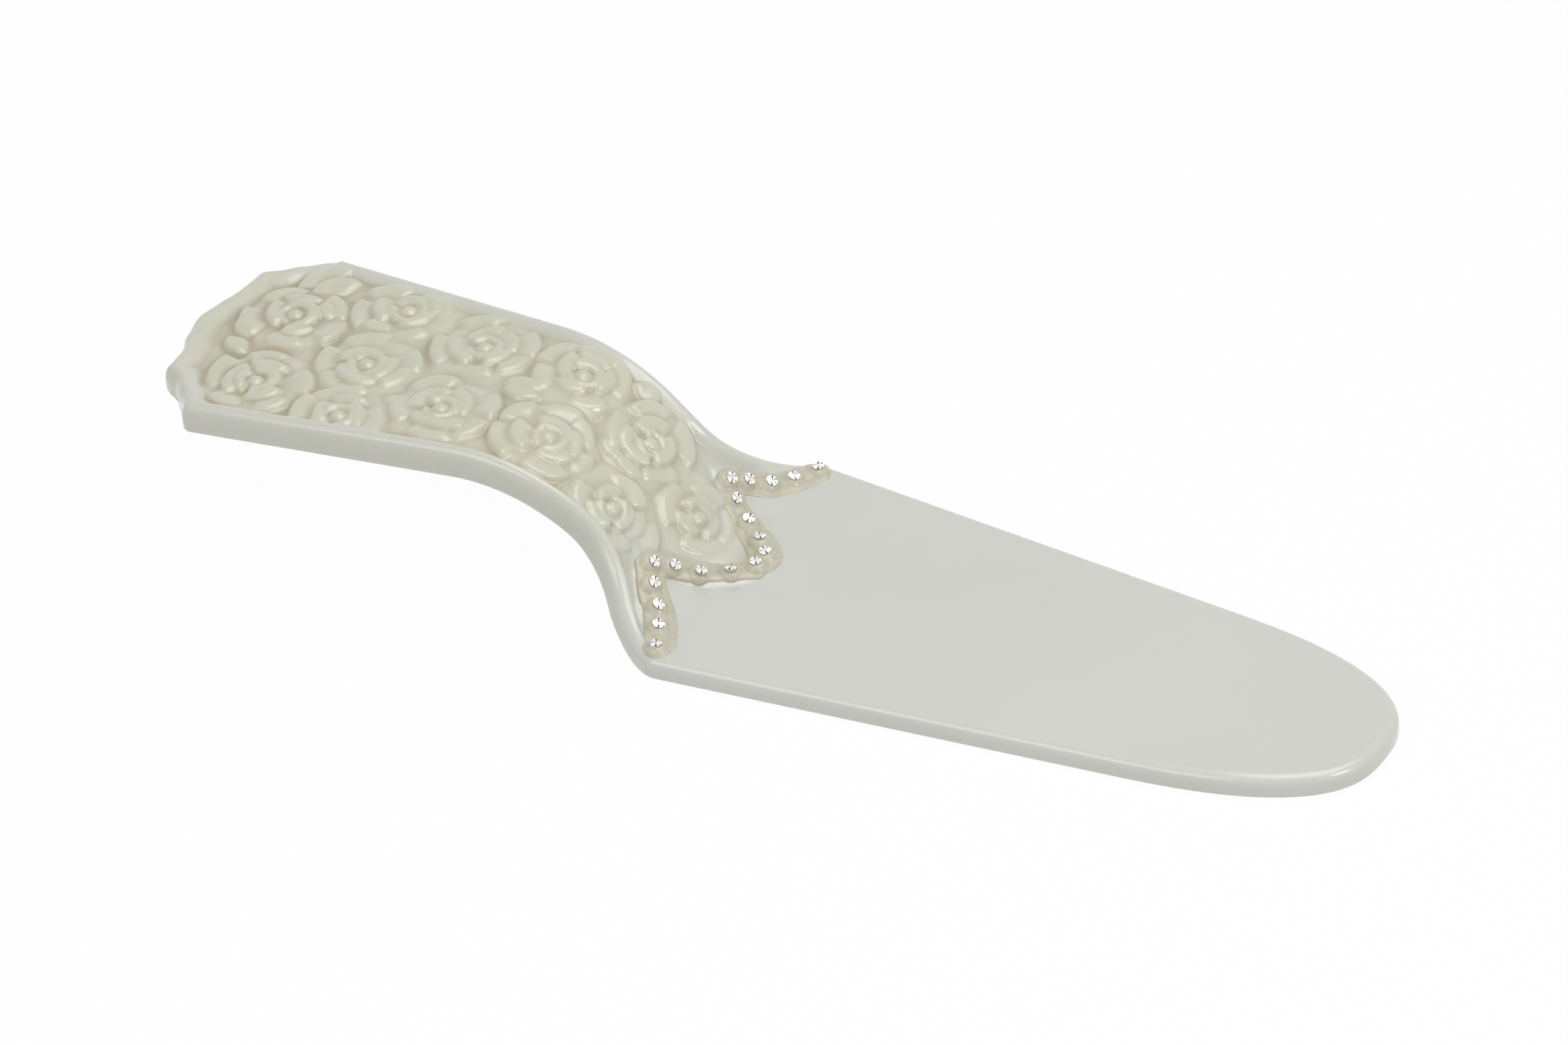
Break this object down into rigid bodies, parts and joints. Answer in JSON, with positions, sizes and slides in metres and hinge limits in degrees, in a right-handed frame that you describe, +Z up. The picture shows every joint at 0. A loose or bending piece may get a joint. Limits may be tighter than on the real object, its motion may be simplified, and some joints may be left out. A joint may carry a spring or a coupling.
{
  "type": "cake server",
  "caption": "Porcelain cake server: flat round-tipped blade, arched neck, raised handle covered in rose relief, and a crown-shaped border of small set stones at the shoulders.",
  "frame": {"origin": "centre of the part's plan outline, in the plane that its flat blade rests on", "axes": "+X along the server towards the blade's tip, +Z up from the blade's resting face, +Y across"},
  "size_m": [0.2732, 0.0754, 0.033],
  "materials": {
    "porcelain": "glossy pearl glaze",
    "resin": "clear beige gel",
    "crystal": "foil-backed, faceted"
  },
  "bodies": {
    "root": {"porcelain_body": "porcelain", "setting_band": "resin", "crystal_01": "crystal", "crystal_02": "crystal", "crystal_03": "crystal", "crystal_04": "crystal", "crystal_05": "crystal", "crystal_06": "crystal", "crystal_07": "crystal", "crystal_08": "crystal", "crystal_09": "crystal", "crystal_10": "crystal", "crystal_11": "crystal", "crystal_12": "crystal", "crystal_13": "crystal", "crystal_14": "crystal", "crystal_15": "crystal", "crystal_16": "crystal", "crystal_17": "crystal", "crystal_18": "crystal"}
  },
  "joints": []
}
